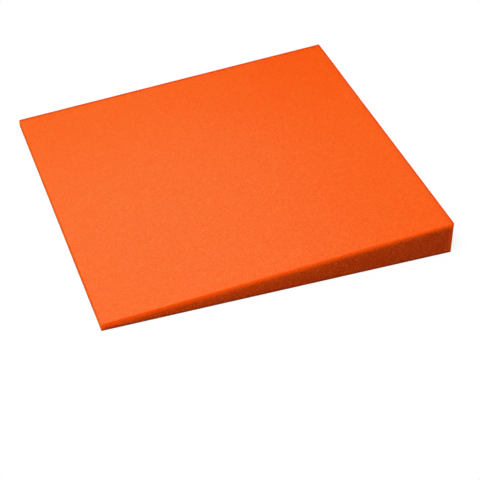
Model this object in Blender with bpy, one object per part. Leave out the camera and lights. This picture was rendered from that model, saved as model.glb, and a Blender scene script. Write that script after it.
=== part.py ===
"""Wedge acoustic panel with a self-adhesive back, lying face up.

A square block of open-cell foam slopes evenly from a thin edge to a thick edge. A double-sided
adhesive film covers the foam's back, and a release liner covers the film until the panel is hung.

Units are metres. X runs from the thin edge to the thick edge, Y along both of those edges, and Z
out of the back. The origin is the centre of the back, on the liner's outer face.
"""

from math import radians

import bmesh
import bpy

# The foam block
PANEL_LENGTH = 0.500  # from the thin edge to the thick edge
PANEL_WIDTH = 0.500  # along both of those edges
THICK_EDGE_HEIGHT = 0.050  # of the foam alone
THIN_EDGE_HEIGHT = 0.010  # of the foam alone
CUT_EDGE_RADIUS = 0.0010  # the blade leaves the foam's edges this soft
CUT_EDGE_STEPS = 4

# The layers on the back
FILM_THICKNESS = 0.0003
LINER_THICKNESS = 0.0002
FILM_MARGIN = 0.0005  # how far the film stays inside the foam's sides
LINER_MARGIN = 0.0003  # how far the liner stays inside them, so that it covers the film's edge
SEAT_GAP = 0.0003  # between one layer and the next

# Where each layer's back lies
LINER_BASE = 0.0
FILM_BASE = LINER_BASE + LINER_THICKNESS + SEAT_GAP
FOAM_BASE = FILM_BASE + FILM_THICKNESS + SEAT_GAP

FOAM_ORANGE = (1.0, 0.155, 0.024, 1.0)
FILM_CLEAR = (0.78, 0.76, 0.70, 1.0)
LINER_KRAFT = (0.62, 0.45, 0.26, 1.0)

SMOOTH_BELOW = radians(40)


def clear_scene():
    for old in list(bpy.data.objects):
        bpy.data.objects.remove(old, do_unlink=True)


def make_material(name, colour, roughness):
    material = bpy.data.materials.new(name)
    material.use_nodes = True
    shader = material.node_tree.nodes["Principled BSDF"]
    shader.inputs["Base Color"].default_value = colour
    shader.inputs["Roughness"].default_value = roughness
    shader.inputs["Metallic"].default_value = 0.0
    material.diffuse_color = colour
    return material


def foam_material():
    return make_material("open_cell_foam", FOAM_ORANGE, 0.95)


def film_material():
    return make_material("adhesive_film", FILM_CLEAR, 0.25)


def liner_material():
    return make_material("release_paper", LINER_KRAFT, 0.45)


def extruded(outline, offset):
    """A closed body: the flat outline, and its copy moved by offset."""
    body = bmesh.new()
    corners = [body.verts.new(point) for point in outline]
    face = body.faces.new(corners)
    grown = bmesh.ops.extrude_face_region(body, geom=[face])
    moved = [part for part in grown["geom"] if isinstance(part, bmesh.types.BMVert)]
    bmesh.ops.translate(body, verts=moved, vec=offset)
    bmesh.ops.recalc_face_normals(body, faces=body.faces)
    return body


def round_off(body, edges, radius):
    """Softens these edges, as far as the faces beside them leave room."""
    bmesh.ops.bevel(
        body,
        geom=edges,
        offset=radius,
        segments=CUT_EDGE_STEPS,
        profile=0.5,
        affect="EDGES",
        clamp_overlap=True,
    )


def add_piece(name, body, material, base, parent):
    """The body as an object of its own, its back at height base."""
    mesh = bpy.data.meshes.new(name)
    body.to_mesh(mesh)
    body.free()
    mesh.shade_smooth()
    mesh.set_sharp_from_angle(angle=SMOOTH_BELOW)
    mesh.materials.append(material)
    piece = bpy.data.objects.new(name, mesh)
    piece.modifiers.new("Flat faces stay flat", "WEIGHTED_NORMAL")
    piece.location = (0.0, 0.0, base)
    piece.parent = parent
    bpy.context.scene.collection.objects.link(piece)
    return piece


def lowest_face(body):
    return min(body.faces, key=lambda face: face.calc_center_median().z)


def make_foam_wedge(parent):
    """The side's outline, drawn along X and pushed across Y, with every edge off the back softened."""
    thin_end = -PANEL_LENGTH / 2
    thick_end = PANEL_LENGTH / 2
    near_side = -PANEL_WIDTH / 2
    side_outline = [
        (thin_end, near_side, 0.0),
        (thick_end, near_side, 0.0),
        (thick_end, near_side, THICK_EDGE_HEIGHT),
        (thin_end, near_side, THIN_EDGE_HEIGHT),
    ]
    body = extruded(side_outline, (0.0, PANEL_WIDTH, 0.0))
    back_edges = set(lowest_face(body).edges)
    exposed = [edge for edge in body.edges if edge not in back_edges]
    round_off(body, exposed, CUT_EDGE_RADIUS)
    return add_piece("foam_wedge", body, foam_material(), FOAM_BASE, parent)


def make_back_layer(name, thickness, margin, material, base, parent):
    """A sheet cut square, that far inside the foam's sides, so that it stays inside its soft corners too."""
    half_length = PANEL_LENGTH / 2 - margin
    half_width = PANEL_WIDTH / 2 - margin
    outline = [
        (-half_length, -half_width, 0.0),
        (half_length, -half_width, 0.0),
        (half_length, half_width, 0.0),
        (-half_length, half_width, 0.0),
    ]
    body = extruded(outline, (0.0, 0.0, thickness))
    return add_piece(name, body, material, base, parent)


def make_adhesive_film(parent):
    return make_back_layer(
        "adhesive_film", FILM_THICKNESS, FILM_MARGIN, film_material(), FILM_BASE, parent
    )


def make_release_liner(parent):
    return make_back_layer(
        "release_liner", LINER_THICKNESS, LINER_MARGIN, liner_material(), LINER_BASE, parent
    )


def make_panel():
    panel = bpy.data.objects.new("panel", None)
    bpy.context.scene.collection.objects.link(panel)
    make_release_liner(panel)
    make_adhesive_film(panel)
    make_foam_wedge(panel)


clear_scene()
make_panel()
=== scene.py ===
"""Looks of the wedge acoustic panel: dyed foam that glows at its cut edges, on a self-adhesive back.

Everything is in metres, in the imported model's frame: X from the thin edge to the thick edge, Z up.
Colours are in linear light.
"""

from math import cos, radians, sin

import bpy
import numpy as np
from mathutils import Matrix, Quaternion, Vector, noise


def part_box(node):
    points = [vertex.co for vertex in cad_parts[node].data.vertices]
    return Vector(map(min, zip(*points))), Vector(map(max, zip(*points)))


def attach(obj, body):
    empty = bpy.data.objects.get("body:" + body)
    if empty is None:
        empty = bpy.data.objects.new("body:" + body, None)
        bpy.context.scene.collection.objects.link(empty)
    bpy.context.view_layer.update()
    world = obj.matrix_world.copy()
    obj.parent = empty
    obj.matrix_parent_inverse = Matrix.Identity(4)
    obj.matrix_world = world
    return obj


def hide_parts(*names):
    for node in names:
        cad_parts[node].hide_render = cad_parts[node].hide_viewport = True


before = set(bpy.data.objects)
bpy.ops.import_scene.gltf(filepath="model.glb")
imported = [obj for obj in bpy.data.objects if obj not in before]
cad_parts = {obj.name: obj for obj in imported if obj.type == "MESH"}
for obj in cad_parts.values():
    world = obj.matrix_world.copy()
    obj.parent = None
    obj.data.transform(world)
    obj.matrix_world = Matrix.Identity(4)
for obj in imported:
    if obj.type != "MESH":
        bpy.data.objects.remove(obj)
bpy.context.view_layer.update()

# Camera, from the panel's corners in the photograph
CAMERA_PLACE = (-0.5207, -1.5616, 1.2205)
CAMERA_HEADING = radians(19.344)  # to the right of straight along +Y
CAMERA_FALL = radians(38.814)  # below the horizon
CAMERA_ROLL = radians(0.277)
LENS_MM = 104.169
SENSOR_MM = 36.0

# Light. Each level is the brightness that this light alone gives a white surface.
SKY_LEVEL = 0.28  # facing up
KEY_LEVEL = 0.895  # facing the lamp
KEY_PLACE = (-3.1, -2.6, 9.5)
KEY_SIZE = 5.0

# The sky below the horizon, whose light reaches only the panel's back, for views from underneath
SKY_BELOW = 0.9
HORIZON = (-0.02, 0.02)  # the upward part of a direction, where one sky goes over into the other

# Floor
FLOOR_SIZE = 30.0
FLOOR_DROP = 0.0002  # below the panel's back
FLOOR_BOUNCE = 0.45  # how much light it sends back up
FLOOR_SHADOW = 0.20  # how much of the panel's shadow it shows
FLOOR_FADE = (0.30, 0.60)  # how far from its middle the shadow begins to fade, and is gone
FOOTPRINT_MARGIN = 0.0012  # how far inside the panel's sides the floor is open underneath it
WHITE = (1.0, 1.0, 1.0, 1.0)

# Foam shape
FOAM_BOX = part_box("foam_wedge")
FILM_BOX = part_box("adhesive_film")
HALF_LENGTH = FOAM_BOX[1].x
HALF_WIDTH = FOAM_BOX[1].y
FOAM_BACK = FILM_BOX[1].z  # the foam lies on its film

# The slope is read from columns of the CAD foam's points that lie at least this far inside its ends.
END_MARGIN = 0.0005
COLUMN_DIGITS = 4  # points whose X agrees to this many digits are one column

# Foam mesh
ARRIS_RADIUS = 0.0011
ARRIS_STEPS = 5
MESH_STEP = 0.0021
RIM_ROWS = 10  # rows of faces over the rim of each side, which catches light from above
RIM_DEPTH = 0.010
RIM_DEPTH_SHARE = 0.6  # the rim takes no more than this of the side's height
SIDE_ROWS = 12  # rows of faces below the rim
LAST_LAYER = ARRIS_STEPS + RIM_ROWS + SIDE_ROWS
SHARP_ABOVE = radians(50)
BLADE_WAVES = (  # length and height of each part of the cuts' unevenness
    (0.045, 0.00012),
    (0.013, 0.00003),
    (0.0052, 0.00002),
)

# The glow at the rim of each side
RIM_TILT = 2.3  # how far the normals lean upwards at the slope's edge
RIM_FADE_THIN = 0.0056  # the glow reaches further down where the foam is thin
RIM_FADE_THICK = 0.0040
RIM_SIDEWAYS = 0.5  # its share on a side at right angles to the lamp
FACES_DOWN = -0.5  # a normal that points down more than this is the back's
SMALLEST_LENGTH = 1e-6  # keeps a division from failing where a normal has no sideways part

# Foam colours on the slope. The change from the pale colour to the deep one is painted light: a broad
# painted highlight, strongest towards the thin edge and the near side
FOAM_PALE_PAINTED_LIT = (0.985, 0.150, 0.027, 1.0)
FOAM_DEEP_PAINTED_DIM = (0.985, 0.103, 0.0064, 1.0)  # towards the thick edge, where the painted highlight is weakest
DIM_SHARE = 0.9  # how much of it there is at that edge
DIM_POWER = 1.8  # above 1, it comes in late
FOAM_FAR_PAINTED_SHADE = (1.0, 0.82, 0.50, 1.0)  # painted shade that multiplies both at the far side
FAR_SHADE_POWER = 3.0
FOAM_EDGE_PAINTED_SHADE = (0.93, 0.082, 0.001, 1.0)  # painted shade along all four edges
EDGE_SHADE_WIDTH = 0.0014

# Painted shade at the two edges that turn away from the lamp, and what multiplies the slope's colours
# there
FOAM_TURNED_PAINTED_SHADE = (0.78, 0.56, 0.24, 1.0)
FOAM_TURNING_PAINTED_SHADE = (1.0, 0.81, 0.36, 1.0)  # just before those edges
TURNED_THICK = 0.0040  # how far in the thick edge is shaded
TURNED_FAR = 0.0068  # and the far edge
TURNED_SPAN = (0.3, 1.0)  # where the first falls off, in multiples of those two lengths
TURNING_SPAN = (0.0, 1.9)  # and the second

# Foam colours on the cut sides. They are darker than the slope's partly as painted shade, and paler
# towards the thin edge as a painted glow of light through the thinner foam
FOAM_SIDE_THIN = (0.64, 0.055, 0.001, 1.0)
FOAM_SIDE_THICK = (0.54, 0.045, 0.001, 1.0)
# A painted glow at the upright corners
FOAM_CORNER_PAINTED_GLOW = (0.78, 0.064, 0.001, 1.0)
CORNER_GLOW_WIDTH = 0.0105
# Painted shade along the foot of the sides, where they meet the back and the floor
FOAM_PAINTED_CONTACT_SHADE = (0.26, 0.010, 0.001, 1.0)
CONTACT_SHADE_HEIGHT = 0.0038  # how far up the sides the painted shade at the panel's foot reaches
# Painted shade in the hollows of the pores on the cut sides
FOAM_PORE_PAINTED_SHADE = (0.38, 0.020, 0.001, 1.0)
# A painted glint: the colour of struts where light catches them
FOAM_PAINTED_GLINT = (1.0, 0.225, 0.064, 1.0)

# Foam grain. Distances to a cell's walls are shares of the cell's size, and here and below a scale
# is the number of a noise's waves per metre.
CELL_SIZE = 0.0011
FINE_CELL = 0.00062
MOTTLE_SCALE = 260.0
MOTTLE_DETAIL = 2.0
CELL_WEIGHT = 0.7  # the weights of what makes a place paler or darker
FINE_WEIGHT = 0.6
WALL_WEIGHT = 0.35
MOTTLE_WEIGHT = 0.3
MEAN_TONE = 0.92  # about the mean of their sum
TONE_SPREAD = (1.16, 1.75)  # how strong that is at the thin edge and at the thick edge
TOP_CONTRAST = (1.11, 1.58, 3.45)  # what a tone of 1 multiplies red, green and blue by on the slope
SIDE_CONTRAST = (1.24, 1.50, 2.10)  # and on the sides
WALL_WIDTH = (0.02, 0.20)  # how far out a wall begins to fade, and is gone
PORE_CELLS = (0.45, 0.85)  # a cell becomes a pore as its random value rises over this range
PORE_WALL = (0.04, 0.22)  # how far from its walls the pore begins
PORE_SHARE = 0.68
GLINT_CELLS = (0.84, 0.95)  # a fine cell gets a painted glint as its random value rises over this range
GLINT_WALL = (0.08, 0.24)  # how far from the walls the painted glint ends
GLINT_SHARE = 0.76
GRAIN_RELIEF = 0.8  # how high the cells stand beside their walls
TOP_RELIEF = 0.35  # how much of the relief the slope has
RELIEF_HEIGHT = 0.00015

# Light in the foam and on it
SCATTER_DEPTH = 0.0045
SCATTER_RATIO = (1.0, 0.70, 0.50)  # in red, green and blue
FOAM_SPECULAR = 0.02
SHEEN_WEIGHT = 0.13
SHEEN_ROUGHNESS = 0.25
SHEEN_TINT = (1.0, 0.80, 0.65, 1.0)

# Film
FILM_THIN = (0.62, 0.60, 0.53, 1.0)
FILM_THICK = (0.74, 0.71, 0.62, 1.0)
FILM_EDGE_PAINTED = (0.40, 0.09, 0.015, 1.0)  # painted: the foam's colour in shade, as if seen through the film's cut edge at the panel's foot
GLUE_SCALE = 160.0
GLUE_COAT = (0.35, 0.65)  # the noise values over which the glue goes from thin to thick
GLUE_HEIGHT = 0.00004
FILM_ROUGHNESS = (0.18, 0.34)  # under thin glue and under thick glue

# Paper
PAPER_DARK = (0.56, 0.40, 0.22, 1.0)
PAPER_PALE = (0.66, 0.49, 0.29, 1.0)
PAPER_FIBRE = (0.40, 0.26, 0.13, 1.0)
# Painted shade along the paper's cut edge at the panel's foot
PAPER_EDGE_PAINTED_SHADE = (0.34, 0.20, 0.09, 1.0)
PAPER_ROUGHNESS = (0.42, 0.58)
NOISE_RANGE = (0.3, 0.7)  # nearly all the values of a noise lie in it
PULP_SCALE = 110.0
FIBRE_SCALE = 900.0
FIBRE_STRETCH = 7.0  # along X, the way the roll ran
FIBRE_VALUES = (0.60, 0.74)  # the noise values over which a fibre comes out
FIBRE_SHARE = 0.45
FIBRE_HEIGHT = 0.00003
COCKLE_SCALE = 14.0
COCKLE_STRETCH = 0.4
COCKLE_HEIGHT = 0.0012

# How far up a normal points, from where a face counts as cut to where it doesn't
SIDE_TURN = (0.25, 0.98)  # from the foam's sides to its slope
EDGE_TURN = (0.3, 0.8)  # from a flat sheet's edges to its faces

# A mix node's sockets for colours. Those for numbers and vectors have the same names.
MIX_SHARE, MIX_FIRST, MIX_SECOND = 0, 6, 7
MIX_RESULT = 2


# Shader nodes

def node_of(tree, kind, **values):
    """A new shader node with the named inputs or settings given a value."""
    node = tree.nodes.new(kind)
    for name, value in values.items():
        socket = node.inputs.get(name.replace("_", " "))
        if socket is not None:
            socket.default_value = value
        else:
            setattr(node, name, value)
    return node


def new_material(name):
    material = bpy.data.materials.new(name)
    material.use_nodes = True
    tree = material.node_tree
    return material, tree, tree.nodes["Principled BSDF"]


def fill(tree, node, values):
    """Gives each numbered input of the node its socket or its value."""
    for slot, value in values.items():
        if isinstance(value, (int, float, tuple)):
            node.inputs[slot].default_value = value
        else:
            tree.links.new(value, node.inputs[slot])


def maths(tree, operation, first, second):
    """first and second are sockets or numbers."""
    node = node_of(tree, "ShaderNodeMath", operation=operation)
    fill(tree, node, {0: first, 1: second})
    return node.outputs[0]


def product(tree, first, *others):
    for other in others:
        first = maths(tree, "MULTIPLY", first, other)
    return first


def ramp(tree, value, low, high, to_low=0.0, to_high=1.0):
    """Goes smoothly from to_low to to_high while the value goes from low to high."""
    node = node_of(tree, "ShaderNodeMapRange", interpolation_type="SMOOTHSTEP")
    tree.links.new(value, node.inputs["Value"])
    node.inputs["From Min"].default_value = low
    node.inputs["From Max"].default_value = high
    node.inputs["To Min"].default_value = to_low
    node.inputs["To Max"].default_value = to_high
    return node.outputs["Result"]


def fall(tree, value, low, high):
    """Goes smoothly from 1 to 0 while the value goes from low to high."""
    return ramp(tree, value, low, high, 1.0, 0.0)


def mixed(tree, share, first, second, blend="MIX"):
    """A colour mix. Each of share, first and second is a socket or a value."""
    node = node_of(tree, "ShaderNodeMix", data_type="RGBA", blend_type=blend)
    fill(tree, node, {MIX_SHARE: share, MIX_FIRST: first, MIX_SECOND: second})
    return node.outputs[MIX_RESULT]


def split(tree, vector):
    """The node that holds the vector's X, Y and Z as outputs."""
    node = node_of(tree, "ShaderNodeSeparateXYZ")
    tree.links.new(vector, node.inputs["Vector"])
    return node


def node_at(tree, kind, places, **values):
    """A new shader node that reads its Vector input from places."""
    node = node_of(tree, kind, **values)
    tree.links.new(places, node.inputs["Vector"])
    return node


def clouds(tree, places, **values):
    """Smooth random values from 0 to 1."""
    return node_at(tree, "ShaderNodeTexNoise", places, **values).outputs["Fac"]


def stretched(tree, places, along):
    """Coordinates in which a texture comes out drawn along X by that factor."""
    node = node_at(tree, "ShaderNodeMapping", places, Scale=(1.0 / along, 1.0, 1.0))
    return node.outputs["Vector"]


def relief(tree, height, distance, strength=1.0):
    """The bump node of a surface whose height goes up by that distance at most."""
    bump = node_of(tree, "ShaderNodeBump", Strength=strength, Distance=distance)
    tree.links.new(height, bump.inputs["Height"])
    return bump


def inset(tree, axis, half):
    """How far in from the nearer of two opposite sides."""
    return maths(tree, "SUBTRACT", half, maths(tree, "ABSOLUTE", axis, 0.0))


def side_share(tree, normal):
    """0 on the sloping face and 1 on the cut sides."""
    return fall(tree, split(tree, normal).outputs["Z"], *SIDE_TURN)


def edge_share(tree, normal):
    """0 on a flat sheet's two faces and 1 on its cut edges."""
    upright = maths(tree, "ABSOLUTE", split(tree, normal).outputs["Z"], 0.0)
    return fall(tree, upright, *EDGE_TURN)


# Foam shape

def slope_line():
    """The sloping face's height in the panel's middle, and how much it rises per metre along X."""
    tops = {}
    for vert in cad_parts["foam_wedge"].data.vertices:
        column = round(vert.co.x, COLUMN_DIGITS)
        tops[column] = max(vert.co.z, tops.get(column, 0.0))
    inside = [x for x in tops if abs(x) < HALF_LENGTH - END_MARGIN]
    thin_x, thick_x = min(inside), max(inside)
    slope = (tops[thick_x] - tops[thin_x]) / (thick_x - thin_x)
    middle = tops[thin_x] - slope * thin_x
    return middle, slope


def arris_insets():
    """How far in from one face the points of a rounded edge lie, from that face to the other."""
    turn = np.linspace(0.0, np.pi / 2, ARRIS_STEPS + 1)
    return ARRIS_RADIUS * (1.0 - np.cos(turn))


def positions(half):
    """Places across the foam from -half to half, close together where the edge is rounded."""
    insets = arris_insets()
    inner = half - ARRIS_RADIUS
    count = int(round(2 * inner / MESH_STEP))
    between = np.linspace(-inner, inner, count + 1)
    return np.concatenate([-half + insets[:-1], between, half - insets[-2::-1]])


def side_depths(height):
    """How far under the slope each layer of a side's points lies, where the side is that high."""
    rim_end = min(RIM_DEPTH, height * RIM_DEPTH_SHARE)
    rim = np.linspace(ARRIS_RADIUS, rim_end, RIM_ROWS + 1)[1:]
    rest = np.linspace(rim_end, height, SIDE_ROWS + 1)[1:]
    return np.concatenate([arris_insets(), rim, rest])


def lattice(middle, slope):
    """The foam's points with sharp edges, their heights measured from the sloping face.

    It also gives each point's number by its column, row and layer, and the last column and row.
    """
    across = positions(HALF_LENGTH)
    along = positions(HALF_WIDTH)
    last_x, last_y = len(across) - 1, len(along) - 1
    index = {}
    points = []
    for i, x in enumerate(across):
        depths = side_depths(middle + slope * x - FOAM_BACK)
        for j, y in enumerate(along):
            on_side = i in (0, last_x) or j in (0, last_y)
            for k in range(LAST_LAYER + 1) if on_side else (0,):
                index[i, j, k] = len(points)
                points.append((x, y, -depths[k]))
    return np.array(points), index, (last_x, last_y)


def perlin(points):
    """Smooth noise from -1 to 1 at each point, the same on each run."""
    return np.array([noise.noise(point) for point in points.tolist()])


def softened(sharp):
    """The points with rounded edges, and with faces as uneven as a blade leaves them."""
    inner = np.empty_like(sharp)
    inner[:, 0] = np.clip(sharp[:, 0], -HALF_LENGTH + ARRIS_RADIUS, HALF_LENGTH - ARRIS_RADIUS)
    inner[:, 1] = np.clip(sharp[:, 1], -HALF_WIDTH + ARRIS_RADIUS, HALF_WIDTH - ARRIS_RADIUS)
    inner[:, 2] = np.minimum(sharp[:, 2], -ARRIS_RADIUS)
    out = sharp - inner
    out /= np.linalg.norm(out, axis=1)[:, None]
    rounded = inner + ARRIS_RADIUS * out
    uneven = sum(height * perlin(rounded / length) for length, height in BLADE_WAVES)
    return rounded + uneven[:, None] * out


def foam_points():
    """The foam's points, how far below the slope each lies, their numbers, and the last column and row.

    Off the sides that depth is endless. One more point at the end is the middle of the back.
    """
    middle, slope = slope_line()
    sharp, index, last = lattice(middle, slope)
    points = softened(sharp)
    points[:, 2] += middle + slope * points[:, 0]
    layers = np.array([layer for _, _, layer in index])
    points[layers == LAST_LAYER, 2] = FOAM_BACK
    points = np.vstack([points, (0.0, 0.0, FOAM_BACK)])
    depths = np.append(np.where(layers > 0, -sharp[:, 2], np.inf), np.inf)
    return points, depths, index, last


def foam_faces(index, last):
    """The sloping face, the four sides, and the back as a fan of triangles around its middle."""
    last_x, last_y = last
    back_middle = len(index)
    faces = []
    for i in range(last_x):
        for j in range(last_y):
            corners = ((i, j), (i + 1, j), (i + 1, j + 1), (i, j + 1))
            faces.append([index[a, b, 0] for a, b in corners])
    ring = [(i, 0) for i in range(last_x)]
    ring += [(last_x, j) for j in range(last_y)]
    ring += [(i, last_y) for i in range(last_x, 0, -1)]
    ring += [(0, j) for j in range(last_y, 0, -1)]
    for (a, b), (c, d) in zip(ring, ring[1:] + ring[:1]):
        for k in range(LAST_LAYER):
            faces.append([index[a, b, k + 1], index[c, d, k + 1], index[c, d, k], index[a, b, k]])
        faces.append([index[c, d, LAST_LAYER], index[a, b, LAST_LAYER], back_middle])
    return faces


def lean_rim(mesh, depths):
    """Leans the sides' normals upwards near the slope, because open cells there catch light from above.

    The two sides turned away from the lamp get none of it.
    """
    normals = np.empty(len(mesh.loops) * 3, dtype=np.float32)
    mesh.corner_normals.foreach_get("vector", normals)
    normals = normals.reshape(-1, 3)
    vertices = np.empty(len(mesh.loops), dtype=np.int32)
    mesh.loops.foreach_get("vertex_index", vertices)
    lengths = np.maximum(np.linalg.norm(normals[:, :2], axis=1), SMALLEST_LENGTH)
    outward = normals[:, :2] / lengths[:, None]
    to_lamp = np.array(Vector(KEY_PLACE[:2]).normalized())
    share = np.clip(RIM_SIDEWAYS + outward @ to_lamp, 0.0, 1.0)
    places = np.array([vertex.co.x for vertex in mesh.vertices])
    fade = np.interp(places, (-HALF_LENGTH, HALF_LENGTH), (RIM_FADE_THIN, RIM_FADE_THICK))
    lean = RIM_TILT * share * np.exp(-depths / fade)[vertices]
    lean[normals[:, 2] < FACES_DOWN] = 0.0
    normals[:, 2] += lean
    normals /= np.linalg.norm(normals, axis=1)[:, None]
    mesh.normals_split_custom_set(normals.tolist())


def make_foam():
    points, depths, index, last = foam_points()
    mesh = bpy.data.meshes.new("foam")
    mesh.from_pydata(points.tolist(), [], foam_faces(index, last))
    mesh.shade_smooth()
    mesh.set_sharp_from_angle(angle=SHARP_ABOVE)
    lean_rim(mesh, depths)
    foam = bpy.data.objects.new("foam", mesh)
    bpy.context.scene.collection.objects.link(foam)
    mesh.materials.append(foam_material())
    return foam


# Foam material

def painted_shade_share(tree, place, start, end):
    """1 at the two edges that turn away from the lamp, where shade is painted, and 0 on the rest of the
    sloping face.

    It falls between these two multiples of how far in those edges are shaded.
    """
    to_thick = maths(tree, "SUBTRACT", HALF_LENGTH, place.outputs["X"])
    to_far = maths(tree, "SUBTRACT", HALF_WIDTH, place.outputs["Y"])
    at_thick = fall(tree, to_thick, start * TURNED_THICK, end * TURNED_THICK)
    at_far = fall(tree, to_far, start * TURNED_FAR, end * TURNED_FAR)
    return maths(tree, "MAXIMUM", at_thick, at_far)


def slope_colour_with_painted_light(tree, place):
    """The foam's colour with painted light: deeper towards the thick edge and the far side, away from a
    painted highlight, and painted shade at the slope's own edges.
    """
    x, y = place.outputs["X"], place.outputs["Y"]
    painted_dim = maths(tree, "POWER", ramp(tree, x, -HALF_LENGTH, HALF_LENGTH), DIM_POWER)
    dye_and_painted_light = mixed(tree, maths(tree, "MULTIPLY", painted_dim, DIM_SHARE), FOAM_PALE_PAINTED_LIT, FOAM_DEEP_PAINTED_DIM)
    painted_far_shade = maths(tree, "POWER", ramp(tree, y, -HALF_WIDTH, HALF_WIDTH), FAR_SHADE_POWER)
    dye_and_painted_light = mixed(tree, painted_far_shade, dye_and_painted_light, FOAM_FAR_PAINTED_SHADE, "MULTIPLY")
    # Painted shade along all four edges of the slope.
    from_edge = maths(tree, "MINIMUM", inset(tree, x, HALF_LENGTH), inset(tree, y, HALF_WIDTH))
    dye_and_painted_light = mixed(tree, fall(tree, from_edge, 0.0, EDGE_SHADE_WIDTH), dye_and_painted_light, FOAM_EDGE_PAINTED_SHADE)
    dye_and_painted_light = mixed(tree, painted_shade_share(tree, place, *TURNING_SPAN), dye_and_painted_light, FOAM_TURNING_PAINTED_SHADE, "MULTIPLY")
    return mixed(tree, painted_shade_share(tree, place, *TURNED_SPAN), dye_and_painted_light, FOAM_TURNED_PAINTED_SHADE, "MULTIPLY")


def side_colour_with_painted_light(tree, place):
    """The sides' colour with painted light: deeper towards the thick edge, where less painted glow
    comes through, painted shade next to the back, and a painted glow at the upright corners.
    """
    x, y = place.outputs["X"], place.outputs["Y"]
    dye_and_painted_light = mixed(tree, ramp(tree, x, -HALF_LENGTH, HALF_LENGTH), FOAM_SIDE_THIN, FOAM_SIDE_THICK)
    from_corner = maths(tree, "MAXIMUM", inset(tree, x, HALF_LENGTH), inset(tree, y, HALF_WIDTH))
    # Painted glow at the upright corners.
    dye_and_painted_light = mixed(tree, fall(tree, from_corner, 0.0, CORNER_GLOW_WIDTH), dye_and_painted_light, FOAM_CORNER_PAINTED_GLOW)
    # Painted shade along the foot, next to the back.
    contact_shade = fall(tree, place.outputs["Z"], FOAM_BACK, FOAM_BACK + CONTACT_SHADE_HEIGHT)
    return mixed(tree, contact_shade, dye_and_painted_light, FOAM_PAINTED_CONTACT_SHADE)


def cell_values(tree, places, size):
    """Two random values from 0 to 1 for each cell of about that size."""
    cells = node_at(tree, "ShaderNodeTexVoronoi", places, feature="F1", Scale=1.0 / size)
    parts = node_of(tree, "ShaderNodeSeparateColor")
    tree.links.new(cells.outputs["Color"], parts.inputs["Color"])
    return parts.outputs["Red"], parts.outputs["Green"]


def wall_distance(tree, places, size):
    """How far it is to the walls of those cells."""
    walls = node_at(
        tree, "ShaderNodeTexVoronoi", places, feature="DISTANCE_TO_EDGE", Scale=1.0 / size
    )
    return walls.outputs["Distance"]


def cell_tone(tree, place, grain, walls, mottle):
    """How much paler or darker than the dye each place is, around 0."""
    tone = maths(tree, "ADD", grain, maths(tree, "MULTIPLY", walls, WALL_WEIGHT))
    tone = maths(tree, "ADD", tone, maths(tree, "MULTIPLY", mottle, MOTTLE_WEIGHT))
    tone = maths(tree, "SUBTRACT", tone, MEAN_TONE)
    spread = ramp(tree, place.outputs["X"], -HALF_LENGTH, HALF_LENGTH, *TONE_SPREAD)
    return maths(tree, "MULTIPLY", tone, spread)


def toned(tree, colour, tone, side):
    """The colour made paler or deeper by tone, with one contrast on the slope and one on the sides."""
    shade = node_of(tree, "ShaderNodeCombineColor")
    channels = ("Red", "Green", "Blue")
    for channel, top_ratio, side_ratio in zip(channels, TOP_CONTRAST, SIDE_CONTRAST):
        ratio = ramp(tree, side, 0.0, 1.0, top_ratio, side_ratio)
        tree.links.new(maths(tree, "POWER", ratio, tone), shade.inputs[channel])
    return mixed(tree, 1.0, colour, shade.outputs["Color"], "MULTIPLY")


def foam_material():
    """Dyed foam that lets light in. It has fine cells, and on its cut sides painted shade in the pores
    and painted glints.
    """
    material, tree, shader = new_material("open_cell_foam")
    coordinates = node_of(tree, "ShaderNodeTexCoord")
    places = coordinates.outputs["Object"]
    place = split(tree, places)
    side = side_share(tree, coordinates.outputs["Normal"])

    tint, hollow = cell_values(tree, places, CELL_SIZE)
    fine_tint, lit = cell_values(tree, places, FINE_CELL)
    to_wall = wall_distance(tree, places, CELL_SIZE)
    walls = fall(tree, to_wall, *WALL_WIDTH)
    cells = maths(tree, "MULTIPLY", tint, CELL_WEIGHT)
    fine_cells = maths(tree, "MULTIPLY", fine_tint, FINE_WEIGHT)
    grain = maths(tree, "ADD", cells, fine_cells)
    mottle = clouds(tree, places, Scale=MOTTLE_SCALE, Detail=MOTTLE_DETAIL)

    dye_and_painted_light = mixed(tree, side, slope_colour_with_painted_light(tree, place), side_colour_with_painted_light(tree, place))
    colour = toned(tree, dye_and_painted_light, cell_tone(tree, place, grain, walls, mottle), side)
    # Painted shade in the pores' hollows.
    pore = product(tree, ramp(tree, hollow, *PORE_CELLS), ramp(tree, to_wall, *PORE_WALL))
    colour = mixed(tree, product(tree, pore, side, PORE_SHARE), colour, FOAM_PORE_PAINTED_SHADE)
    # Painted glints where light catches the struts.
    painted_glint = product(tree, ramp(tree, lit, *GLINT_CELLS), fall(tree, to_wall, *GLINT_WALL))
    colour = mixed(tree, product(tree, painted_glint, side, GLINT_SHARE), colour, FOAM_PAINTED_GLINT)
    tree.links.new(colour, shader.inputs["Base Color"])

    height = maths(tree, "ADD", walls, maths(tree, "MULTIPLY", grain, GRAIN_RELIEF))
    strength = ramp(tree, side, 0.0, 1.0, TOP_RELIEF, 1.0)
    bump = relief(tree, maths(tree, "MULTIPLY", height, strength), RELIEF_HEIGHT)
    tree.links.new(bump.outputs["Normal"], shader.inputs["Normal"])

    shader.inputs["Roughness"].default_value = 1.0
    shader.inputs["Specular IOR Level"].default_value = FOAM_SPECULAR
    shader.inputs["Subsurface Weight"].default_value = 1.0
    shader.inputs["Subsurface Radius"].default_value = SCATTER_RATIO
    shader.inputs["Subsurface Scale"].default_value = SCATTER_DEPTH
    shader.inputs["Sheen Weight"].default_value = SHEEN_WEIGHT
    shader.inputs["Sheen Roughness"].default_value = SHEEN_ROUGHNESS
    shader.inputs["Sheen Tint"].default_value = SHEEN_TINT
    return material


# The back's materials

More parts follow.
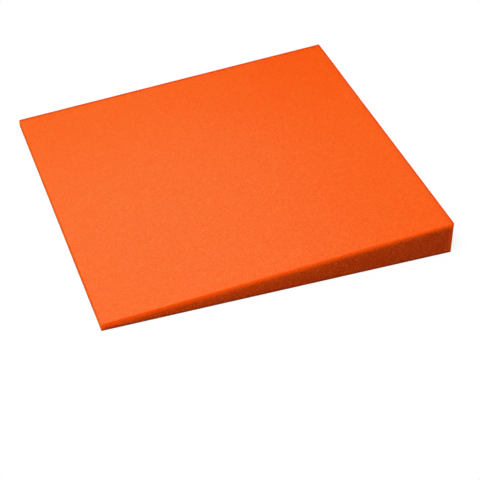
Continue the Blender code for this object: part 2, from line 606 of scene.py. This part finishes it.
def film_material():
    """Clear film with a mottled coat of glue on both faces."""
    material, tree, shader = new_material("adhesive_film_look")
    coordinates = node_of(tree, "ShaderNodeTexCoord")
    glue = clouds(tree, coordinates.outputs["Object"], Scale=GLUE_SCALE, Detail=4.0)
    coat = ramp(tree, glue, *GLUE_COAT)
    edge = edge_share(tree, coordinates.outputs["Normal"])
    colour = mixed(tree, edge, mixed(tree, coat, FILM_THIN, FILM_THICK), FILM_EDGE_PAINTED)
    tree.links.new(colour, shader.inputs["Base Color"])
    roughness = ramp(tree, coat, 0.0, 1.0, *FILM_ROUGHNESS)
    tree.links.new(roughness, shader.inputs["Roughness"])
    bump = relief(tree, glue, GLUE_HEIGHT, strength=0.6)
    tree.links.new(bump.outputs["Normal"], shader.inputs["Normal"])
    return material


def liner_material():
    """Plain kraft release paper: cloudy pulp, short fibres along the roll, and a slight cockle."""
    material, tree, shader = new_material("release_paper_look")
    coordinates = node_of(tree, "ShaderNodeTexCoord")
    places = coordinates.outputs["Object"]
    along_roll = stretched(tree, places, FIBRE_STRETCH)
    over_sheet = stretched(tree, places, COCKLE_STRETCH)
    pulp = clouds(tree, places, Scale=PULP_SCALE, Detail=6.0, Roughness=0.65)
    fibre = clouds(tree, along_roll, Scale=FIBRE_SCALE, Detail=3.0, Distortion=0.6)
    cockle = clouds(tree, over_sheet, Scale=COCKLE_SCALE, Detail=1.0)

    colour = mixed(tree, ramp(tree, pulp, *NOISE_RANGE), PAPER_DARK, PAPER_PALE)
    strands = maths(tree, "MULTIPLY", ramp(tree, fibre, *FIBRE_VALUES), FIBRE_SHARE)
    colour = mixed(tree, strands, colour, PAPER_FIBRE)
    edge = edge_share(tree, coordinates.outputs["Normal"])
    tree.links.new(mixed(tree, edge, colour, PAPER_EDGE_PAINTED_SHADE), shader.inputs["Base Color"])
    roughness = ramp(tree, fibre, *NOISE_RANGE, *PAPER_ROUGHNESS)
    tree.links.new(roughness, shader.inputs["Roughness"])

    waves = relief(tree, cockle, COCKLE_HEIGHT)
    tooth = relief(tree, fibre, FIBRE_HEIGHT, strength=0.5)
    tree.links.new(waves.outputs["Normal"], tooth.inputs["Normal"])
    tree.links.new(tooth.outputs["Normal"], shader.inputs["Normal"])
    return material


def dress(node, material):
    """Gives a piece that stays a CAD solid its better material."""
    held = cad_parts[node]
    held.data.materials.clear()
    held.data.materials.append(material)


# Stage

def shader_mix(tree, share, first, second):
    """The first shader where share is 0, and the second where it is 1."""
    node = node_of(tree, "ShaderNodeMixShader")
    fill(tree, node, {0: share, 1: first.outputs[0], 2: second.outputs[0]})
    return node


def background_rays(tree):
    """1 for the rays that show the background, also in metal and through glass, and 0 for the rest."""
    light_path = node_of(tree, "ShaderNodeLightPath")
    direct = light_path.outputs["Is Camera Ray"]
    mirrored = light_path.outputs["Is Glossy Ray"]
    through = light_path.outputs["Is Transmission Ray"]
    return maths(tree, "MAXIMUM", maths(tree, "MAXIMUM", direct, mirrored), through)


def floor_shown(tree):
    """What the picture shows of the floor: white, with some of the panel's shadow near the panel."""
    lit = node_of(tree, "ShaderNodeBsdfDiffuse", Color=WHITE)
    white = node_of(tree, "ShaderNodeEmission", Color=WHITE, Strength=1.0)
    places = node_of(tree, "ShaderNodeTexCoord")
    distance = node_of(tree, "ShaderNodeVectorMath", operation="LENGTH")
    tree.links.new(places.outputs["Object"], distance.inputs[0])
    share = ramp(tree, distance.outputs["Value"], *FLOOR_FADE, 1.0 - FLOOR_SHADOW, 1.0)
    return shader_mix(tree, share, lit, white)


def under_panel(tree):
    """1 where the panel hides the floor, and 0 elsewhere."""
    places = node_of(tree, "ShaderNodeTexCoord")
    place = split(tree, places.outputs["Object"])
    along = inset(tree, place.outputs["X"], HALF_LENGTH - FOOTPRINT_MARGIN)
    across = inset(tree, place.outputs["Y"], HALF_WIDTH - FOOTPRINT_MARGIN)
    return maths(tree, "GREATER_THAN", maths(tree, "MINIMUM", along, across), 0.0)


def floor_material():
    """Pale, and open from below and under the panel, so that the panel's back can be lit and seen."""
    material, tree, _ = new_material("studio_floor")
    tree.nodes.clear()
    output = node_of(tree, "ShaderNodeOutputMaterial")
    geometry = node_of(tree, "ShaderNodeNewGeometry")
    bounce = (FLOOR_BOUNCE, FLOOR_BOUNCE, FLOOR_BOUNCE, 1.0)
    bounced = node_of(tree, "ShaderNodeBsdfDiffuse", Color=bounce)
    clear = node_of(tree, "ShaderNodeBsdfTransparent")
    solid = shader_mix(tree, background_rays(tree), bounced, floor_shown(tree))
    gone = maths(tree, "MAXIMUM", geometry.outputs["Backfacing"], under_panel(tree))
    tree.links.new(shader_mix(tree, gone, solid, clear).outputs[0], output.inputs["Surface"])
    return material


def make_floor():
    bpy.ops.mesh.primitive_plane_add(size=FLOOR_SIZE, location=(0.0, 0.0, -FLOOR_DROP))
    floor = bpy.context.object
    floor.name = "floor"
    floor.data.materials.append(floor_material())


def make_world():
    """White in the picture. Its light is even from above, and brighter from below for the back."""
    world = bpy.data.worlds.new("studio")
    bpy.context.scene.world = world
    world.use_nodes = True
    tree = world.node_tree
    tree.nodes.clear()
    output = node_of(tree, "ShaderNodeOutputWorld")
    directions = node_of(tree, "ShaderNodeTexCoord")
    upward = split(tree, directions.outputs["Generated"]).outputs["Z"]
    level = ramp(tree, upward, *HORIZON, SKY_BELOW, SKY_LEVEL)
    strength = maths(tree, "MAXIMUM", level, background_rays(tree))
    background = node_of(tree, "ShaderNodeBackground", Color=WHITE)
    tree.links.new(strength, background.inputs["Strength"])
    tree.links.new(background.outputs[0], output.inputs["Surface"])


def make_light(name, place, size, level):
    """A square soft light aimed at the panel. It gives a facing white surface there that brightness."""
    data = bpy.data.lights.new(name, "AREA")
    data.shape = "SQUARE"
    data.size = size
    distance = Vector(place).length
    data.energy = level * (np.pi * distance) ** 2
    light = bpy.data.objects.new(name, data)
    light.location = place
    light.rotation_mode = "QUATERNION"
    light.rotation_quaternion = (-Vector(place)).to_track_quat("-Z", "Y")
    bpy.context.scene.collection.objects.link(light)


def make_camera():
    data = bpy.data.cameras.new("camera")
    data.sensor_width = SENSOR_MM
    data.lens = LENS_MM
    camera = bpy.data.objects.new("camera", data)
    camera.location = CAMERA_PLACE
    level = cos(CAMERA_FALL)
    forward = Vector((sin(CAMERA_HEADING) * level, cos(CAMERA_HEADING) * level, -sin(CAMERA_FALL)))
    aim = forward.to_track_quat("-Z", "Y")
    roll = Quaternion((0.0, 0.0, 1.0), CAMERA_ROLL)
    camera.rotation_mode = "QUATERNION"
    camera.rotation_quaternion = aim @ roll
    bpy.context.scene.collection.objects.link(camera)
    bpy.context.scene.camera = camera


make_camera()
make_world()
make_light("key", KEY_PLACE, KEY_SIZE, KEY_LEVEL)
make_floor()

foam = make_foam()
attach(foam, "root")
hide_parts("foam_wedge")
dress("adhesive_film", film_material())
dress("release_liner", liner_material())

bpy.context.scene.view_settings.view_transform = "Standard"
